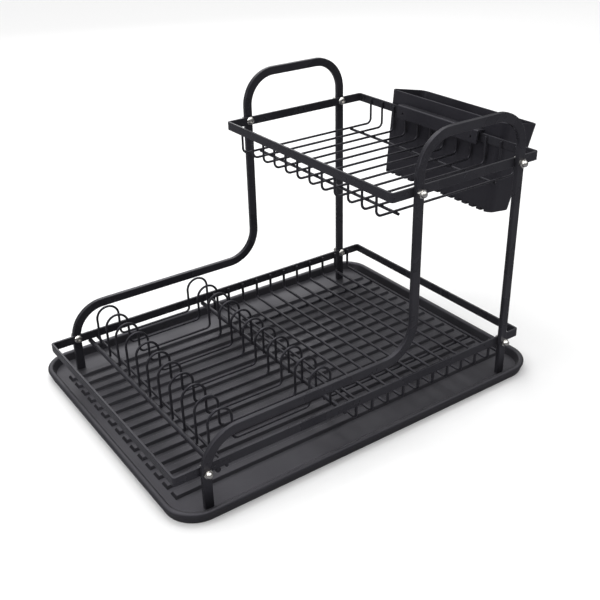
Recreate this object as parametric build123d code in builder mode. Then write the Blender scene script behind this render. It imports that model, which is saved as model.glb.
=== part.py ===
from build123d import *
import os
from math import cos, radians, sin

# Dish drying rack: a wire rack with a plate section, a low grid and an upper tier,
# standing in a drip tray, with a cutlery basket hung on the upper rim.
# Origin: on the table under the middle of the tray. X runs along the long side,
# Y to the back and Z up. Rack positions are counted from the rack's own middle.
rack_x = -3.5
rack_y = -7

# Drip tray, to the unrounded edges of its rim
tray_length = 442
tray_width = 332
tray_height = 11.5
tray_corner = 34
tray_wall = 2
tray_floor_top = 3
skirt_flare = 4
rim_width = 6.3
rim_outer_round = 2.4
rim_inner_round = 3
inner_wall_run = 3.2
drain_rib_count = 15
drain_rib_pitch = 17
drain_rib_length = 406
drain_rib_width = 11
drain_rib_height = 3
drain_rib_taper = 30
drain_rib_round = 1
stiffener_spacing = 110
stiffener_count = 3

# Flat steel of the two rims
band_height = 9.2
band_thickness = 2.5
band_corner = 3.2
band_edge = 0.5
rim_half_width = 139.5
lower_rim_x = (-210, 210)
lower_rim_top = 46.5
upper_rim_x = (24.4, 211.7)
upper_rim_top = 245.7

# Bent flat bar of the two side frames
bar_width = 9.2
bar_thickness = 5
bar_edge = 1
bar_bend = 35
plate_foot_x = -180
tower_x = (53.5, 182)
rail_height = 75
handle_height = 291.3

# Lower grid
grid_wire_d = 3
grid_wire_count = 11
grid_wire_pitch = 20
grid_first_x = -10
grid_bend = 5
grid_floor = 20.5
grid_top = 45
grid_rod_y = 86.5
grid_rod_overhang = 3

# Plate section
plate_wire_d = 2.5
plate_wire_count = 11
plate_wire_pitch = 23.6
plate_loop_radius = 12.3
plate_loop_x = (-150, -40.3)
plate_loop_height = 68.5
plate_floor = 43.2
plate_leg_foot = 34.5
plate_bend = 5
plate_bar_d = 5
plate_rod_d = 3
plate_end_rod_x = -157.2
plate_inner_rod_x = -14.8
plate_inner_rod_height = 40
plate_inner_bar_back = 139.5
plate_inner_bar_front = -137

# Upper tier
shelf_wire_d = 2.5
shelf_wire_count = 12
shelf_wire_pitch = 20.73
shelf_floor = 215
shelf_top = 244
shelf_bend = 6
shelf_rod_d = 3
shelf_rod_x = (52.7, 180)
shelf_rod_overhang = 3
wire_end_round = 0.4

# M5 button-head screws and cap nuts
screw_d = 4.9
screw_length = 12
head_d = 9.2
head_height = 2.75
head_rim = 0.5
head_shoulder = 3.8
head_shoulder_height = 1.9
head_flat_d = 4.2
socket_width = 3
socket_depth = 1.6
hole_d = 5.3
nut_width = 8
nut_hex_height = 3.2
nut_chamfer = 0.5
nut_dome_d = 6.8
nut_height = 7.4
nut_bore_d = 5
nut_bore_depth = 5.4
turn_step = 23

# Cutlery basket, leaning with its foot inwards
basket_lean = 7
basket_gap = 0.35
basket_y = -2
basket_height = 96.5
basket_drop = 4.5
basket_below_rim = 72
basket_foot = (35.5, 172)
basket_mouth = (54, 178)
basket_corner = 9
basket_wall = 2
basket_mouth_round = 0.7
hook_length = 125
hook_gap = 8
hook_clearance = 0.3
hook_shelf = 2.5
hook_depth = 12
hook_round = 1.8
hook_hole_d = 2.5
hook_hole_y = 53.5
slot_count = 15
slot_pitch = 11
slot_width = 4.6
slot_reach = 29
slot_rise = 3.6

# Derived positions
rim_inner_y = rim_half_width - band_thickness
bar_middle_y = rim_half_width + bar_thickness / 2
lower_bolt_z = lower_rim_top - band_height / 2
upper_bolt_z = upper_rim_top - band_height / 2
lower_bolts = [(plate_foot_x, lower_bolt_z), (tower_x[1], lower_bolt_z)]
upper_bolts = [(x, upper_bolt_z) for x in tower_x]
under_rim = lower_rim_top - band_height
through = 300


def cross_plane(y):
    # Upright plane across the rack's width: local x along X, local y up
    return Plane(origin=(rack_x, rack_y + y, 0), x_dir=(1, 0, 0), z_dir=(0, -1, 0))


def long_plane(x):
    # Upright plane across the rack's length: local x along Y, local y up
    return Plane(origin=(rack_x + x, rack_y, 0), x_dir=(0, 1, 0), z_dir=(1, 0, 0))


def evenly(count, pitch):
    # Positions spaced evenly about zero
    return [(index - (count - 1) / 2) * pitch for index in range(count)]


def finish(piece, name):
    piece.part.label = name
    export_step(piece.part, f"parts/{name}.step")


def round_ends(piece):
    fillet(piece.faces().filter_by(GeomType.PLANE).edges(), wire_end_round)


def rod_along_y(x, z, diameter, front, back):
    with BuildPart() as rod:
        with BuildSketch(cross_plane(back)):
            with Locations((x, z)):
                Circle(diameter / 2)
        extrude(amount=back - front)
        round_ends(rod)
    return rod


def rod_along_x(y, z, diameter, left, right):
    with BuildPart() as rod:
        with BuildSketch(long_plane(left)):
            with Locations((y, z)):
                Circle(diameter / 2)
        extrude(amount=right - left)
        round_ends(rod)
    return rod


def grid_wire(x):
    half = rim_inner_y - grid_wire_d / 2
    with BuildPart() as wire:
        with BuildLine(long_plane(x)) as run:
            FilletPolyline((-half, grid_top), (-half, grid_floor), (half, grid_floor), (half, grid_top),
                           radius=grid_bend)
        with BuildSketch(Plane(origin=run.line @ 0, z_dir=run.line % 0)):
            Circle(grid_wire_d / 2)
        sweep()
        round_ends(wire)
    return wire


def plate_wire(y):
    low, high = plate_leg_foot, plate_loop_height
    first_left, first_right = plate_loop_x[0] - plate_loop_radius, plate_loop_x[0] + plate_loop_radius
    last_left, last_right = plate_loop_x[1] - plate_loop_radius, plate_loop_x[1] + plate_loop_radius
    crest = high + plate_loop_radius
    with BuildPart() as wire:
        with BuildLine(cross_plane(y)) as run:
            Line((first_left, low), (first_left, high))
            ThreePointArc((first_left, high), (plate_loop_x[0], crest), (first_right, high))
            FilletPolyline((first_right, high), (first_right, plate_floor), (last_left, plate_floor),
                           (last_left, high), radius=plate_bend)
            ThreePointArc((last_left, high), (plate_loop_x[1], crest), (last_right, high))
            Line((last_right, high), (last_right, low))
        with BuildSketch(Plane(origin=run.line @ 0, z_dir=run.line % 0)):
            Circle(plate_wire_d / 2)
        sweep()
        round_ends(wire)
    return wire


def shelf_wire(y):
    left = upper_rim_x[0] + band_thickness + shelf_wire_d / 2
    right = upper_rim_x[1] - band_thickness - shelf_wire_d / 2
    with BuildPart() as wire:
        with BuildLine(cross_plane(y)) as run:
            FilletPolyline((left, shelf_top), (left, shelf_floor), (right, shelf_floor), (right, shelf_top),
                           radius=shelf_bend)
        with BuildSketch(Plane(origin=run.line @ 0, z_dir=run.line % 0)):
            Circle(shelf_wire_d / 2)
        sweep()
        round_ends(wire)
    return wire


def rim(span, top, bolts):
    middle = rack_x + (span[0] + span[1]) / 2
    length = span[1] - span[0]
    width = 2 * rim_half_width
    with BuildPart() as band:
        with BuildSketch(Plane(origin=(middle, rack_y, top - band_height))):
            RectangleRounded(length, width, band_corner)
            RectangleRounded(length - 2 * band_thickness, width - 2 * band_thickness,
                             band_corner - band_thickness, mode=Mode.SUBTRACT)
        extrude(amount=band_height)
        fillet(band.faces().filter_by(Axis.Z).edges(), band_edge)
        with BuildSketch(cross_plane(0)):
            with Locations(*bolts):
                Circle(hole_d / 2)
        extrude(amount=through, both=True, mode=Mode.SUBTRACT)
    return band


def side_frame(y):
    with BuildPart() as frame:
        with BuildLine(cross_plane(y)) as run:
            FilletPolyline((plate_foot_x, tray_floor_top), (plate_foot_x, rail_height),
                           (tower_x[0], rail_height), (tower_x[0], handle_height),
                           (tower_x[1], handle_height), (tower_x[1], tray_floor_top), radius=bar_bend)
        with BuildSketch(Plane(origin=run.line @ 0, x_dir=(1, 0, 0), z_dir=(0, 0, 1))):
            RectangleRounded(bar_width, bar_thickness, bar_edge)
        sweep()
        with BuildSketch(cross_plane(y)):
            with Locations(*lower_bolts, *upper_bolts):
                Circle(hole_d / 2)
        extrude(amount=bar_thickness, both=True, mode=Mode.SUBTRACT)
    return frame


def bolt_planes(offset):
    # One plane for each bolt, front and back, whose normal points away from the rack's middle
    planes = []
    for side in (-1, 1):
        for x, z in lower_bolts + upper_bolts:
            turn = radians(turn_step * len(planes))
            planes.append(Plane(origin=(rack_x + x, rack_y + side * offset, z),
                                x_dir=(cos(turn), 0, sin(turn)), z_dir=(0, side, 0)))
    return planes


def screw():
    with BuildPart() as bolt:
        with BuildSketch(Plane.XZ):
            with BuildLine():
                Polyline((0, screw_length), (screw_d / 2, screw_length), (screw_d / 2, 0), (head_d / 2, 0),
                         (head_d / 2, -head_rim))
                ThreePointArc((head_d / 2, -head_rim), (head_shoulder, -head_shoulder_height),
                              (head_flat_d / 2, -head_height))
                Polyline((head_flat_d / 2, -head_height), (0, -head_height), (0, screw_length))
            make_face()
        revolve(axis=Axis.Z)
        with BuildSketch(Plane.XY.offset(-head_height)):
            RegularPolygon(socket_width / 2, 6, major_radius=False)
        extrude(amount=socket_depth, mode=Mode.SUBTRACT)
    return bolt


def cap_nut():
    half = nut_width / 2
    dome = nut_dome_d / 2
    with BuildPart() as nut:
        with BuildSketch(Plane.XY):
            RegularPolygon(half, 6, major_radius=False)
        extrude(amount=nut_hex_height)
        with BuildSketch(Plane.XZ):
            with BuildLine():
                Polyline((0, 0), (half, 0), (half + 2 * nut_chamfer, nut_chamfer),
                         (half + 2 * nut_chamfer, nut_hex_height - nut_chamfer), (half, nut_hex_height),
                         (0, nut_hex_height), (0, 0))
            make_face()
        revolve(axis=Axis.Z, mode=Mode.INTERSECT)
        with BuildSketch(Plane.XZ):
            with BuildLine():
                Polyline((0, nut_hex_height), (dome, nut_hex_height), (dome, nut_height - dome))
                JernArc((dome, nut_height - dome), (0, 1), dome, 90)
                Line((0, nut_height), (0, nut_hex_height))
            make_face()
        revolve(axis=Axis.Z)
        with BuildSketch(Plane.XY):
            Circle(nut_bore_d / 2)
        extrude(amount=nut_bore_depth, mode=Mode.SUBTRACT)
    return nut


def fastener_group(piece, offset):
    with BuildPart() as group:
        with Locations(*bolt_planes(offset)):
            add(piece.part)
    return group


def rolled_edge():
    # Section of the tray's edge: skirt, rounded top and the wall that runs down to the floor
    outer = tray_length / 2
    inner = outer - rim_width
    lean = skirt_flare / tray_height
    slope = inner_wall_run / (tray_height - tray_floor_top)
    under = tray_height - tray_wall
    skirt_wall = tray_wall * (1 + lean**2) ** 0.5
    inner_wall = tray_wall * (1 + slope**2) ** 0.5
    foot = tray_floor_top - tray_wall
    floor_edge = inner - inner_wall_run
    with BuildSketch(Plane.XZ) as section:
        with BuildLine():
            FilletPolyline((outer - skirt_flare, 0), (outer, tray_height), (inner, tray_height),
                           (floor_edge, tray_floor_top), radius=(rim_outer_round, rim_inner_round))
            Polyline(
                (floor_edge, tray_floor_top),
                (floor_edge - tray_wall, tray_floor_top),
                (floor_edge - tray_wall, foot),
                (inner + inner_wall - slope * (tray_height - foot), foot),
                (inner + inner_wall - slope * tray_wall, under),
                (outer - skirt_wall - lean * tray_wall, under),
                (outer - skirt_wall - skirt_flare, 0),
                (outer - skirt_flare, 0),
            )
        make_face()
    return section


def drip_tray():
    floor_inset = rim_width + inner_wall_run + tray_wall / 2
    foot = tray_floor_top - tray_wall
    rib_spots = [(0, y) for y in evenly(drain_rib_count, drain_rib_pitch)]
    edge = rolled_edge()
    with BuildSketch() as outline:
        RectangleRounded(tray_length, tray_width, tray_corner)
    with BuildPart() as ribs:
        with BuildSketch(Plane.XY.offset(tray_floor_top)):
            with Locations(*rib_spots):
                Rectangle(drain_rib_length, drain_rib_width)
        extrude(amount=drain_rib_height, taper=drain_rib_taper)
        fillet(ribs.faces().group_by(Axis.Z)[-1].edges(), drain_rib_round)
    with BuildPart() as tray:
        sweep(sections=edge.sketch, path=outline.sketch.face().outer_wire())
        with BuildSketch(Plane.XY.offset(foot)):
            RectangleRounded(tray_length - 2 * floor_inset, tray_width - 2 * floor_inset,
                             tray_corner - floor_inset)
        extrude(amount=tray_wall)
        add(ribs.part)
        with BuildSketch(Plane.XY.offset(foot)):
            with Locations(*rib_spots):
                Rectangle(drain_rib_length - 2 * tray_wall, drain_rib_width - 2 * tray_wall)
        extrude(amount=drain_rib_height, mode=Mode.SUBTRACT)
        with BuildSketch(Plane.XY):
            with Locations(*[(x, 0) for x in evenly(stiffener_count, stiffener_spacing)]):
                Rectangle(tray_wall, tray_width - 2 * floor_inset)
        extrude(amount=tray_floor_top)
    return tray


def basket_plane():
    # Origin on the basket's inner wall at its foot, local x outwards, local z up the wall
    lean = radians(basket_lean)
    up = (sin(lean), 0, cos(lean))
    touch = Vector(rack_x + upper_rim_x[1] + basket_gap, rack_y + basket_y, upper_rim_top - band_height)
    return Plane(origin=touch - Vector(*up) * basket_below_rim, x_dir=(cos(lean), 0, -sin(lean)), z_dir=up)


def hook_profile(side, shelf, near, far):
    # Shelf over the rim and the lip that hangs down behind it
    top = shelf + hook_shelf
    with BuildSketch(side) as profile:
        with BuildLine():
            Polyline((basket_wall / 2, top), (basket_wall / 2, shelf), (near, shelf),
                     (near, shelf - hook_depth), (far, shelf - hook_depth))
            FilletPolyline((far, shelf - hook_depth), (far, top), (basket_wall / 2, top), radius=hook_round)
        make_face()
    return profile


def cutlery_basket():
    base = basket_plane()
    side = Plane(origin=base.origin, x_dir=base.x_dir, z_dir=(0, -1, 0))
    band_corner_point = Vector(rack_x + upper_rim_x[1], rack_y + basket_y, upper_rim_top)
    shelf = base.to_local_coords(band_corner_point).Z + hook_clearance
    near = -hook_gap
    far = near - basket_wall
    edge = (Align.MIN, Align.CENTER)
    mouth_slope = Plane(origin=base.origin + base.z_dir * basket_height,
                        x_dir=(0, 1, 0),
                        z_dir=base.z_dir * basket_mouth[0] + base.x_dir * basket_drop)
    with BuildPart() as basket:
        with BuildSketch(base):
            RectangleRounded(*basket_foot, basket_corner, align=edge)
        with BuildSketch(base.offset(basket_height)):
            RectangleRounded(*basket_mouth, basket_corner, align=edge)
        loft()
        with BuildSketch(base.offset(basket_wall)):
            with Locations((basket_wall, 0)):
                RectangleRounded(basket_foot[0] - 2 * basket_wall, basket_foot[1] - 2 * basket_wall,
                                 basket_corner - basket_wall, align=edge)
        with BuildSketch(base.offset(basket_height)):
            with Locations((basket_wall, 0)):
                RectangleRounded(basket_mouth[0] - 2 * basket_wall, basket_mouth[1] - 2 * basket_wall,
                                 basket_corner - basket_wall, align=edge)
        loft(mode=Mode.SUBTRACT)
        split(bisect_by=mouth_slope, keep=Keep.BOTTOM)
        fillet(basket.faces().sort_by(Axis(base.origin, mouth_slope.z_dir))[-1].edges(),
               basket_mouth_round)
        add(extrude(hook_profile(side, shelf, near, far).sketch, amount=hook_length / 2, both=True,
                    mode=Mode.PRIVATE))
        with BuildSketch(Plane(origin=base.origin, x_dir=(0, 1, 0), z_dir=base.x_dir).offset(far)):
            with Locations(*[(y, shelf - hook_depth / 2) for y in (-hook_hole_y, hook_hole_y)]):
                Circle(hook_hole_d / 2)
        extrude(amount=hook_gap, mode=Mode.SUBTRACT)
        with BuildSketch(base):
            with Locations(*[(0, y) for y in evenly(slot_count, slot_pitch)]):
                Rectangle(2 * slot_reach, slot_width)
        extrude(amount=slot_rise, mode=Mode.SUBTRACT)
    return basket


os.makedirs("parts", exist_ok=True)

finish(drip_tray(), "drip_tray")
finish(cutlery_basket(), "cutlery_basket")

finish(rim(lower_rim_x, lower_rim_top, lower_bolts), "lower_rim")
finish(rim(upper_rim_x, upper_rim_top, upper_bolts), "upper_rim")
finish(side_frame(-bar_middle_y), "front_side_frame")
finish(side_frame(bar_middle_y), "back_side_frame")
finish(fastener_group(screw(), rim_inner_y), "button_screws")
finish(fastener_group(cap_nut(), rim_half_width + bar_thickness), "cap_nuts")

for index in range(grid_wire_count):
    finish(grid_wire(grid_first_x + index * grid_wire_pitch), f"grid_wire_{index + 1}")
grid_last_x = grid_first_x + (grid_wire_count - 1) * grid_wire_pitch
grid_rod_z = grid_floor - grid_wire_d
for side, name in ((-1, "front_grid_rod"), (1, "back_grid_rod")):
    finish(rod_along_x(side * grid_rod_y, grid_rod_z, grid_wire_d, grid_first_x - grid_rod_overhang,
                       grid_last_x + grid_rod_overhang), name)

for index, y in enumerate(evenly(plate_wire_count, plate_wire_pitch)):
    finish(plate_wire(y), f"plate_wire_{index + 1}")
bar_reach = plate_loop_radius + (plate_wire_d + plate_bar_d) / 2
bar_z = under_rim - plate_bar_d / 2
rod_z = under_rim - plate_rod_d / 2
finish(rod_along_y(plate_loop_x[0] - bar_reach, bar_z, plate_bar_d, -rim_half_width, rim_half_width),
       "plate_end_bar")
finish(rod_along_y(plate_loop_x[1] + bar_reach, bar_z, plate_bar_d, plate_inner_bar_front,
                   plate_inner_bar_back), "plate_inner_bar")
finish(rod_along_y(plate_end_rod_x, rod_z, plate_rod_d, -rim_half_width, rim_half_width), "plate_end_rod")
finish(rod_along_y(plate_inner_rod_x, plate_inner_rod_height, plate_rod_d, -rim_inner_y, rim_inner_y),
       "plate_inner_rod")

for index, y in enumerate(evenly(shelf_wire_count, shelf_wire_pitch)):
    finish(shelf_wire(y), f"shelf_wire_{index + 1}")
shelf_rod_z = shelf_floor - (shelf_wire_d + shelf_rod_d) / 2
shelf_rod_end = (shelf_wire_count - 1) / 2 * shelf_wire_pitch + shelf_rod_overhang
for x, name in zip(shelf_rod_x, ("left_shelf_rod", "right_shelf_rod")):
    finish(rod_along_y(x, shelf_rod_z, shelf_rod_d, -shelf_rod_end, shelf_rod_end), name)
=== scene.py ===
import bpy
import math
from mathutils import Matrix, Vector


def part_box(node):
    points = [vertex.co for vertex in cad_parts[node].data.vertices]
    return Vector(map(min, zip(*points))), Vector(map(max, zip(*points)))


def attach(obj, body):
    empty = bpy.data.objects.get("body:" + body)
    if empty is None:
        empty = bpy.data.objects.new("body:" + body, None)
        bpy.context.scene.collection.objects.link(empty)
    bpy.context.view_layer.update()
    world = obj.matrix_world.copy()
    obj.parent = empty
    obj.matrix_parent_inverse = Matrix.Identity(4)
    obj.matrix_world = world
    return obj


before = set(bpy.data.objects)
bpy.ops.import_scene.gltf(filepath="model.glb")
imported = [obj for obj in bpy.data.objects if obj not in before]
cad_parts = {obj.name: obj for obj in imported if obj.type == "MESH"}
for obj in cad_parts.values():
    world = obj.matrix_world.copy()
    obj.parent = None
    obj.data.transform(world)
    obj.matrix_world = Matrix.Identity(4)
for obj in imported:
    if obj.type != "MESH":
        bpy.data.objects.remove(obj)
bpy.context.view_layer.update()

# Places of the colour sockets on a Mix node, whose names are not unique
firstColor, secondColor, mixedColor = 6, 7, 2

studio = {
    "cameraAt": (-0.4513, -0.6875, 0.5259),
    "azimuth": -34.53,
    "elevation": 28.18,
    "roll": -1.40,
    "lens": 52.58,
    "sensorWidth": 36,
    "floorSize": 40.0,
    "floorColor": (0.90, 0.90, 0.90, 1),
    "floorRoughness": 0.9,
    "worldColor": (1.0, 1.0, 1.0, 1),
    "worldStrength": 1.0,
    "mirroredHorizon": 0.10,
    "mirroredZenith": 1.9,
    "mirroredFrom": 0.35,
    # Floor colour seen only in reflections: a painted dark reflection on the rack
    "paintedFloorReflection": (0.16, 0.16, 0.17, 1),
}

# Soft boxes: name, place, what it faces, width, height, power
softBoxes = [
    ("topBox", (0.0, 0.5, 1.6), (0, 0, 0.1), 1.0, 0.6, 8),
    ("leftBox", (-1.5, 0.3, 1.0), (0, 0, 0.12), 0.7, 0.9, 5),
    ("backBox", (0.6, 1.6, 0.9), (0, 0, 0.15), 1.2, 0.6, 5),
]


def placeCamera():
    a = math.radians(studio["azimuth"])
    e = math.radians(studio["elevation"])
    r = math.radians(studio["roll"])
    back = Vector((math.sin(a) * math.cos(e), -math.cos(a) * math.cos(e), math.sin(e)))
    right = Vector((0, 0, 1)).cross(back).normalized()
    up = back.cross(right)
    camX = right * math.cos(r) + up * math.sin(r)
    camY = up * math.cos(r) - right * math.sin(r)
    data = bpy.data.cameras.new("camera")
    data.lens = studio["lens"]
    data.sensor_width = studio["sensorWidth"]
    camera = bpy.data.objects.new("camera", data)
    bpy.context.collection.objects.link(camera)
    turn = Matrix((camX, camY, back)).transposed().to_4x4()
    camera.matrix_world = Matrix.Translation(studio["cameraAt"]) @ turn
    bpy.context.scene.camera = camera


def placeLights():
    # Even white room for the camera and for soft light, darker and brighter overhead in reflections
    world = bpy.data.worlds.new("softRoom")
    bpy.context.scene.world = world
    world.use_nodes = True
    tree = world.node_tree
    sky = tree.nodes["Background"]
    path = tree.nodes.new("ShaderNodeLightPath")
    place = tree.nodes.new("ShaderNodeTexCoord")
    split = tree.nodes.new("ShaderNodeSeparateXYZ")
    ramp = tree.nodes.new("ShaderNodeMapRange")
    ramp.inputs["From Min"].default_value = studio["mirroredFrom"]
    ramp.inputs["From Max"].default_value = 1.0
    ramp.inputs["To Min"].default_value = studio["mirroredHorizon"]
    ramp.inputs["To Max"].default_value = studio["mirroredZenith"]
    choose = tree.nodes.new("ShaderNodeMix")
    choose.inputs["A"].default_value = studio["worldStrength"]
    tree.links.new(place.outputs["Generated"], split.inputs[0])
    tree.links.new(split.outputs["Z"], ramp.inputs["Value"])
    tree.links.new(path.outputs["Is Glossy Ray"], choose.inputs["Factor"])
    tree.links.new(ramp.outputs["Result"], choose.inputs["B"])
    tree.links.new(choose.outputs["Result"], sky.inputs["Strength"])
    sky.inputs["Color"].default_value = studio["worldColor"]
    for name, at, target, width, height, power in softBoxes:
        data = bpy.data.lights.new(name, "AREA")
        data.shape = "RECTANGLE"
        data.size = width
        data.size_y = height
        data.energy = power
        lamp = bpy.data.objects.new(name, data)
        bpy.context.collection.objects.link(lamp)
        lamp.location = at
        lamp.rotation_euler = (Vector(target) - Vector(at)).to_track_quat("-Z", "Y").to_euler()


def placeFloor():
    half = studio["floorSize"] / 2
    mesh = bpy.data.meshes.new("floor")
    corners = [(-half, -half, 0), (half, -half, 0), (half, half, 0), (-half, half, 0)]
    mesh.from_pydata(corners, [], [(0, 1, 2, 3)])
    floor = bpy.data.objects.new("floor", mesh)
    bpy.context.collection.objects.link(floor)
    paper = bpy.data.materials.new("palePaperWithPaintedReflection")
    paper.use_nodes = True
    tree = paper.node_tree
    shader = tree.nodes["Principled BSDF"]
    shader.inputs["Roughness"].default_value = studio["floorRoughness"]
    # Painted reflection: the floor is pale for the camera and for light, but dark grey wherever it is
    # seen in a reflection
    path = tree.nodes.new("ShaderNodeLightPath")
    tone = tree.nodes.new("ShaderNodeMix")
    tone.data_type = "RGBA"
    tone.inputs[firstColor].default_value = studio["floorColor"]
    tone.inputs[secondColor].default_value = studio["paintedFloorReflection"]
    tree.links.new(path.outputs["Is Glossy Ray"], tone.inputs["Factor"])
    tree.links.new(tone.outputs[mixedColor], shader.inputs["Base Color"])
    mesh.materials.append(paper)


placeCamera()
placeLights()
bpy.context.scene.view_settings.view_transform = "Standard"
placeFloor()
print("studio ready")


# Where each effect begins and is full, and how much it counts
effects = {
    "edgeSharpness": (0.01, 0.16),
    "edgeSpots": (0.42, 0.66),
    "drift": (0.3, 0.7),
    "speckle": (0.6, 0.78),
    "dustFacing": (0.55, 1.0),
    "dustCloud": (0.38, 0.72),
    "fineShare": 0.6,
    "coarseShare": 0.4,
    "dustRoughness": 0.25,
    "speckleRoughness": 0.08,
    "bevelSamples": 4,
}


def newGroup(name, inputs, outputs):
    # Every socket is a number: inputs with their values, outputs by name
    tree = bpy.data.node_groups.new(name, "ShaderNodeTree")
    for label, value in inputs.items():
        socket = tree.interface.new_socket(label, in_out="INPUT", socket_type="NodeSocketFloat")
        socket.default_value = value
    for label in outputs:
        tree.interface.new_socket(label, in_out="OUTPUT", socket_type="NodeSocketFloat")
    start = tree.nodes.new("NodeGroupInput")
    end = tree.nodes.new("NodeGroupOutput")
    return tree, start, end


def addNode(tree, kind, **values):
    node = tree.nodes.new(kind)
    for key, value in values.items():
        setattr(node, key, value)
    return node


def mathNode(tree, operation, first, second=None, clamp=False):
    node = addNode(tree, "ShaderNodeMath", operation=operation, use_clamp=clamp)
    for slot, value in enumerate((first, second)):
        if value is None:
            continue
        if isinstance(value, (int, float)):
            node.inputs[slot].default_value = value
        else:
            tree.links.new(value, node.inputs[slot])
    return node.outputs[0]


def noiseNode(tree, vector, scale, detail=3.0, roughness=0.55):
    node = addNode(tree, "ShaderNodeTexNoise")
    node.inputs["Detail"].default_value = detail
    node.inputs["Roughness"].default_value = roughness
    tree.links.new(vector, node.inputs["Vector"])
    if isinstance(scale, (int, float)):
        node.inputs["Scale"].default_value = scale
    else:
        tree.links.new(scale, node.inputs["Scale"])
    return node.outputs["Fac"]


def rangeNode(tree, value, low, high, toLow=0.0, toHigh=1.0):
    node = addNode(tree, "ShaderNodeMapRange", interpolation_type="SMOOTHSTEP")
    tree.links.new(value, node.inputs["Value"])
    for label, number in (("From Min", low), ("From Max", high), ("To Min", toLow), ("To Max", toHigh)):
        node.inputs[label].default_value = number
    return node.outputs["Result"]


def buildEdgeWear():
    # White along outer edges, broken up by noise
    tree, start, end = newGroup("edgeWear", {"Width": 0.0006, "Breakup": 900.0, "Amount": 1.0}, ["Mask"])
    place = addNode(tree, "ShaderNodeTexCoord").outputs["Object"]
    bevel = addNode(tree, "ShaderNodeBevel", samples=effects["bevelSamples"])
    tree.links.new(start.outputs["Width"], bevel.inputs["Radius"])
    real = addNode(tree, "ShaderNodeNewGeometry").outputs["Normal"]
    dot = addNode(tree, "ShaderNodeVectorMath", operation="DOT_PRODUCT")
    tree.links.new(bevel.outputs["Normal"], dot.inputs[0])
    tree.links.new(real, dot.inputs[1])
    bent = mathNode(tree, "SUBTRACT", 1.0, dot.outputs["Value"])
    sharp = rangeNode(tree, bent, *effects["edgeSharpness"])
    breakup = noiseNode(tree, place, start.outputs["Breakup"], detail=4.0)
    spots = rangeNode(tree, breakup, *effects["edgeSpots"])
    worn = mathNode(tree, "MULTIPLY", sharp, spots)
    worn = mathNode(tree, "MULTIPLY", worn, start.outputs["Amount"], True)
    tree.links.new(worn, end.inputs["Mask"])
    return tree


def buildFineGrain():
    # Fine bumpy skin: its height, and a slower drift for roughness and tone
    tree, start, end = newGroup(
        "fineGrain", {"Fine": 2600.0, "Coarse": 420.0, "Drift": 18.0}, ["Height", "Drift", "Speckle"])
    place = addNode(tree, "ShaderNodeTexCoord").outputs["Object"]
    fine = noiseNode(tree, place, start.outputs["Fine"], detail=2.0)
    coarse = noiseNode(tree, place, start.outputs["Coarse"], detail=3.0)
    height = mathNode(tree, "ADD", mathNode(tree, "MULTIPLY", fine, effects["fineShare"]),
                      mathNode(tree, "MULTIPLY", coarse, effects["coarseShare"]))
    slow = noiseNode(tree, place, start.outputs["Drift"], detail=4.0)
    drift = rangeNode(tree, slow, *effects["drift"])
    tree.links.new(height, end.inputs["Height"])
    tree.links.new(drift, end.inputs["Drift"])
    tree.links.new(rangeNode(tree, fine, *effects["speckle"]), end.inputs["Speckle"])
    return tree


def buildSettledDust():
    # Faint dust and dried water film on faces that look up
    tree, start, end = newGroup("settledDust", {"Amount": 0.5, "Scale": 30.0}, ["Mask"])
    place = addNode(tree, "ShaderNodeTexCoord").outputs["Object"]
    split = addNode(tree, "ShaderNodeSeparateXYZ")
    tree.links.new(addNode(tree, "ShaderNodeNewGeometry").outputs["Normal"], split.inputs[0])
    facing = rangeNode(tree, split.outputs["Z"], *effects["dustFacing"])
    blotches = noiseNode(tree, place, start.outputs["Scale"], detail=5.0, roughness=0.65)
    cloud = rangeNode(tree, blotches, *effects["dustCloud"])
    dusty = mathNode(tree, "MULTIPLY", facing, cloud)
    dusty = mathNode(tree, "MULTIPLY", dusty, start.outputs["Amount"], True)
    tree.links.new(dusty, end.inputs["Mask"])
    return tree


groups = {
    "edgeWear": buildEdgeWear(),
    "fineGrain": buildFineGrain(),
    "settledDust": buildSettledDust(),
}
print("shared effects ready")


def useGroup(tree, name, **values):
    node = addNode(tree, "ShaderNodeGroup", node_tree=groups[name])
    for label, value in values.items():
        node.inputs[label].default_value = value
    return node


def mixColor(tree, factor, base, over):
    node = addNode(tree, "ShaderNodeMix", data_type="RGBA")
    tree.links.new(factor, node.inputs["Factor"])
    for place, value in ((firstColor, base), (secondColor, over)):
        if isinstance(value, tuple):
            node.inputs[place].default_value = value
        else:
            tree.links.new(value, node.inputs[place])
    return node.outputs[mixedColor]


powderCoat = {
    "name": "powderCoatBlack",
    "color": (0.0155, 0.0152, 0.0182, 1),
    "tone": (0.0222, 0.0218, 0.0256, 1),
    "worn": (0.075, 0.078, 0.085, 1),
    "dust": (0.05, 0.051, 0.054, 1),
    "roughness": (0.22, 0.34),
    "edge": {"Width": 0.0007, "Breakup": 700.0, "Amount": 0.55},
    "grain": {"Fine": 2400.0, "Coarse": 520.0, "Drift": 22.0},
    "dusting": {"Amount": 0.22, "Scale": 45.0},
    "bump": 0.22,
    "bumpDepth": 0.00012,
    "specular": 0.33,
    "metallic": 0.0,
    "mirrorTint": (0.90, 0.87, 1.0, 1),
}

mouldedTray = {
    "name": "mouldedPlasticTray",
    "color": (0.0150, 0.0146, 0.0168, 1),
    "tone": (0.0235, 0.0230, 0.0258, 1),
    "worn": (0.06, 0.061, 0.064, 1),
    "dust": (0.055, 0.056, 0.058, 1),
    "roughness": (0.33, 0.48),
    "edge": {"Width": 0.0008, "Breakup": 420.0, "Amount": 0.35},
    "grain": {"Fine": 3000.0, "Coarse": 900.0, "Drift": 9.0},
    "dusting": {"Amount": 0.25, "Scale": 14.0},
    "bump": 0.16,
    "bumpDepth": 0.00008,
    "specular": 0.45,
    "metallic": 0.0,
    "mirrorTint": (0.90, 0.87, 1.0, 1),
}

mouldedBasket = dict(mouldedTray, name="mouldedPlasticBasket", color=(0.0125, 0.0120, 0.0155, 1),
                     tone=(0.0195, 0.0188, 0.0232, 1), specular=0.32)

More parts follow.
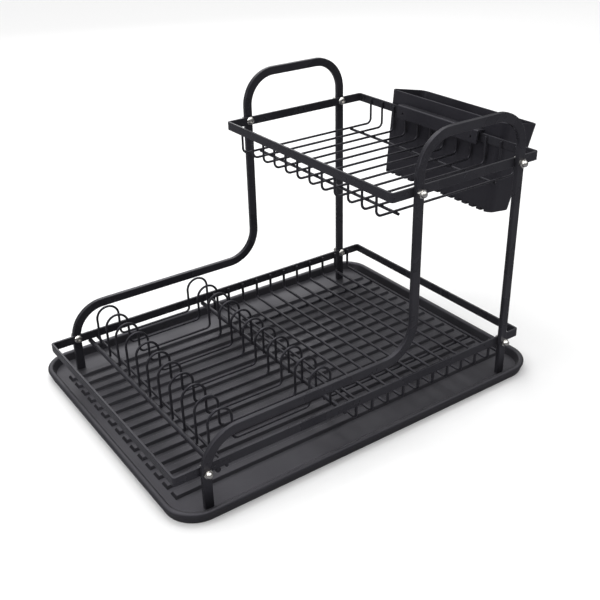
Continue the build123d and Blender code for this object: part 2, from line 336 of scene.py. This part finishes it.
nickelPlate = {
    "name": "brightNickel",
    "color": (0.92, 0.90, 0.86, 1),
    "tone": (0.80, 0.78, 0.74, 1),
    "worn": (0.82, 0.81, 0.80, 1),
    "dust": (0.30, 0.29, 0.28, 1),
    "roughness": (0.12, 0.24),
    "edge": {"Width": 0.0003, "Breakup": 1800.0, "Amount": 0.6},
    "grain": {"Fine": 5200.0, "Coarse": 1500.0, "Drift": 160.0},
    "dusting": {"Amount": 0.15, "Scale": 300.0},
    "bump": 0.08,
    "bumpDepth": 0.00003,
    "specular": 0.5,
    "metallic": 1.0,
    "mirrorTint": (1, 1, 1, 1),
}


def makeFinish(look):
    material = bpy.data.materials.new(look["name"])
    material.use_nodes = True
    tree = material.node_tree
    shader = tree.nodes["Principled BSDF"]
    shader.inputs["Metallic"].default_value = look["metallic"]
    shader.inputs["Specular IOR Level"].default_value = look["specular"]
    shader.inputs["Specular Tint"].default_value = look["mirrorTint"]
    edge = useGroup(tree, "edgeWear", **look["edge"])
    grain = useGroup(tree, "fineGrain", **look["grain"])
    dust = useGroup(tree, "settledDust", **look["dusting"])
    body = mixColor(tree, grain.outputs["Drift"], look["color"], look["tone"])
    body = mixColor(tree, edge.outputs["Mask"], body, look["worn"])
    body = mixColor(tree, dust.outputs["Mask"], body, look["dust"])
    tree.links.new(body, shader.inputs["Base Color"])
    low, high = look["roughness"]
    rough = rangeNode(tree, grain.outputs["Drift"], 0.0, 1.0, low, high)
    for mask, share in ((dust.outputs["Mask"], effects["dustRoughness"]),
                        (grain.outputs["Speckle"], effects["speckleRoughness"])):
        rough = mathNode(tree, "ADD", rough, mathNode(tree, "MULTIPLY", mask, share), True)
    tree.links.new(rough, shader.inputs["Roughness"])
    bump = addNode(tree, "ShaderNodeBump")
    bump.inputs["Strength"].default_value = look["bump"]
    bump.inputs["Distance"].default_value = look["bumpDepth"]
    tree.links.new(grain.outputs["Height"], bump.inputs["Height"])
    tree.links.new(bump.outputs["Normal"], shader.inputs["Normal"])
    return material


coatMaterial = makeFinish(powderCoat)
trayMaterial = makeFinish(mouldedTray)
basketMaterial = makeFinish(mouldedBasket)
nickelMaterial = makeFinish(nickelPlate)


def dress(name, material):
    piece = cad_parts[name]
    for index in range(len(piece.material_slots)):
        piece.material_slots[index].link = "OBJECT"
        piece.material_slots[index].material = material
    if not piece.material_slots:
        piece.data.materials.append(material)


otherFinishes = {
    "drip_tray": trayMaterial,
    "cutlery_basket": basketMaterial,
    "button_screws": nickelMaterial,
    "cap_nuts": nickelMaterial,
}
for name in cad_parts:
    dress(name, otherFinishes.get(name, coatMaterial))
print("finishes on", len(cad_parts), "frame parts")


# Resistance weld beads, as separate small lumps of steel under the coating
welds = {
    "radius": 0.00125,
    "variation": 0.22,
    "seed": 7,
    "lumpDetail": 2,
    "seamStep": 0.0016,
    "seamLumps": 4,
    "gridWires": 11,
    "plateWires": 11,
    "shelfWires": 12,
}


def middle(name, axis):
    low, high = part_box(name)
    return (low[axis] + high[axis]) / 2


def seam(x, y, top):
    # A short upright row of lumps, from just under a wire's end
    return [(x, y, top - (lump + 1) * welds["seamStep"]) for lump in range(welds["seamLumps"])]


def weldSpots():
    spots = []
    for index in range(welds["gridWires"]):
        name = f"grid_wire_{index + 1}"
        low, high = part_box(name)
        for rod in ("front_grid_rod", "back_grid_rod"):
            spots.append((middle(name, 0), middle(rod, 1), low[2]))
        for y in (low[1], high[1]):
            spots += seam(middle(name, 0), y, high[2])
    for index in range(welds["shelfWires"]):
        name = f"shelf_wire_{index + 1}"
        low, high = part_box(name)
        for rod in ("left_shelf_rod", "right_shelf_rod"):
            spots.append((middle(rod, 0), middle(name, 1), low[2]))
        for x in (low[0], high[0]):
            spots += seam(x, middle(name, 1), high[2])
    for index in range(welds["plateWires"]):
        name = f"plate_wire_{index + 1}"
        low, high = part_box(name)
        spots.append((low[0], middle(name, 1), middle("plate_end_bar", 2)))
        spots.append((high[0], middle(name, 1), middle("plate_inner_bar", 2)))
    return spots


def buildBeadTree():
    # One lump on every point of the mesh, each turned and sized a little differently
    tree = bpy.data.node_groups.new("weldBeads", "GeometryNodeTree")
    tree.interface.new_socket("Geometry", in_out="INPUT", socket_type="NodeSocketGeometry")
    for label, kind in (("Radius", "NodeSocketFloat"), ("Variation", "NodeSocketFloat"),
                        ("Seed", "NodeSocketInt"), ("Material", "NodeSocketMaterial")):
        tree.interface.new_socket(label, in_out="INPUT", socket_type=kind)
    tree.interface.new_socket("Geometry", in_out="OUTPUT", socket_type="NodeSocketGeometry")
    start = tree.nodes.new("NodeGroupInput")
    end = tree.nodes.new("NodeGroupOutput")
    lump = addNode(tree, "GeometryNodeMeshIcoSphere")
    lump.inputs["Subdivisions"].default_value = welds["lumpDetail"]
    # Random Value has its vector limits in sockets 0 and 1, and its number limits in 2 and 3
    size = addNode(tree, "FunctionNodeRandomValue", data_type="FLOAT")
    turn = addNode(tree, "FunctionNodeRandomValue", data_type="FLOAT_VECTOR")
    turn.inputs[1].default_value = (math.tau, math.tau, math.tau)
    place = addNode(tree, "GeometryNodeInstanceOnPoints")
    real = addNode(tree, "GeometryNodeRealizeInstances")
    smooth = addNode(tree, "GeometryNodeSetShadeSmooth")
    paint = addNode(tree, "GeometryNodeSetMaterial")
    link = tree.links.new
    link(start.outputs["Radius"], lump.inputs["Radius"])
    link(mathNode(tree, "SUBTRACT", 1.0, start.outputs["Variation"]), size.inputs[2])
    link(mathNode(tree, "ADD", 1.0, start.outputs["Variation"]), size.inputs[3])
    link(start.outputs["Seed"], size.inputs["Seed"])
    link(start.outputs["Seed"], turn.inputs["Seed"])
    link(start.outputs["Geometry"], place.inputs["Points"])
    link(lump.outputs["Mesh"], place.inputs["Instance"])
    link(turn.outputs[0], place.inputs["Rotation"])
    link(size.outputs[1], place.inputs["Scale"])
    link(place.outputs["Instances"], real.inputs["Geometry"])
    link(real.outputs["Geometry"], smooth.inputs["Geometry"])
    link(smooth.outputs["Geometry"], paint.inputs["Geometry"])
    link(start.outputs["Material"], paint.inputs["Material"])
    link(paint.outputs["Geometry"], end.inputs["Geometry"])
    return tree


def makeWeldBeads():
    mesh = bpy.data.meshes.new("weldSpots")
    mesh.from_pydata(weldSpots(), [], [])
    beads = bpy.data.objects.new("weldBeads", mesh)
    bpy.context.collection.objects.link(beads)
    tree = buildBeadTree()
    sockets = {item.name: item.identifier for item in tree.interface.items_tree if item.in_out == "INPUT"}
    modifier = beads.modifiers.new("weldBeads", "NODES")
    modifier.node_group = tree
    modifier[sockets["Radius"]] = welds["radius"]
    modifier[sockets["Variation"]] = welds["variation"]
    modifier[sockets["Seed"]] = welds["seed"]
    modifier[sockets["Material"]] = coatMaterial
    graph = bpy.context.evaluated_depsgraph_get()
    plain = bpy.data.meshes.new_from_object(beads.evaluated_get(graph), depsgraph=graph)
    beads.modifiers.clear()
    beads.data = plain
    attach(beads, "rack")
    print("weld beads", len(plain.polygons), "faces")


makeWeldBeads()
